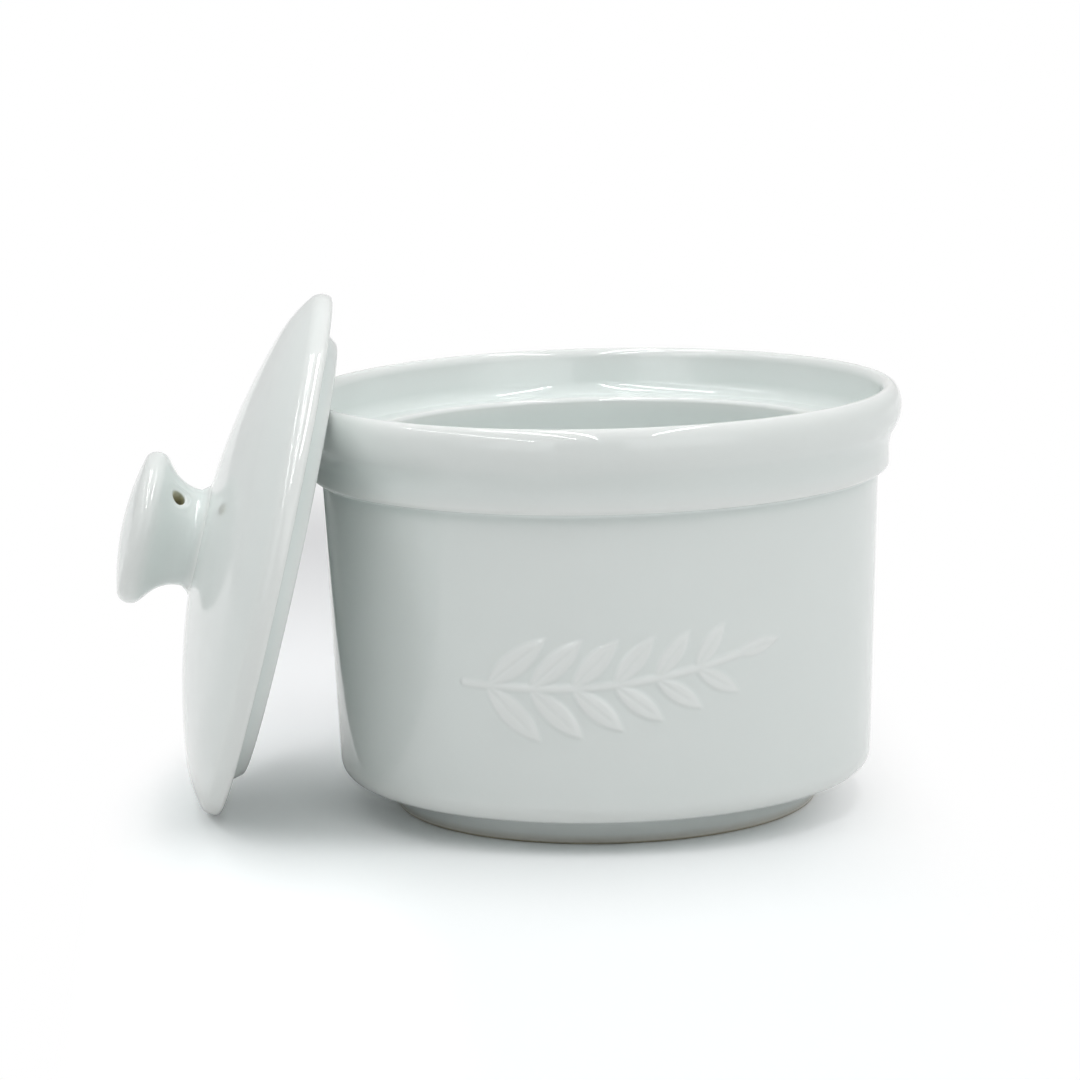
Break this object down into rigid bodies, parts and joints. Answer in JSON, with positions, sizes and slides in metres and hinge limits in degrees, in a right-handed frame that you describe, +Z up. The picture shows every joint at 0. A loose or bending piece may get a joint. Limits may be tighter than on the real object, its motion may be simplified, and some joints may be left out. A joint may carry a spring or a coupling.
{
  "type": "lidded salt cellar",
  "caption": "Round white porcelain salt cellar with a collared rim and a domed lid with a flared hollow knob; the lid stands off the pot and leans on its lip.",
  "frame": {"origin": "centre of the pot's foot ring, on the surface that it stands on", "axes": "+Z up along the pot's axis, -Y towards the sprig on the pot's front, -X towards the lid that leans on the pot, and X is the longest extent"},
  "size_m": [0.1493, 0.1144, 0.0979],
  "materials": {
    "pot_glaze": "gloss",
    "lid_glaze": "gloss",
    "knob_glaze": "gloss"
  },
  "bodies": {
    "pot": {"pot": "pot_glaze"},
    "lid": {"lid": "lid_glaze", "knob": "knob_glaze"}
  },
  "joints": [
    {"name": "lid_lift", "type": "slide", "parent": "pot", "child": "lid", "axis": [0, 0, 1], "range_m": [0, 0.1]}
  ]
}
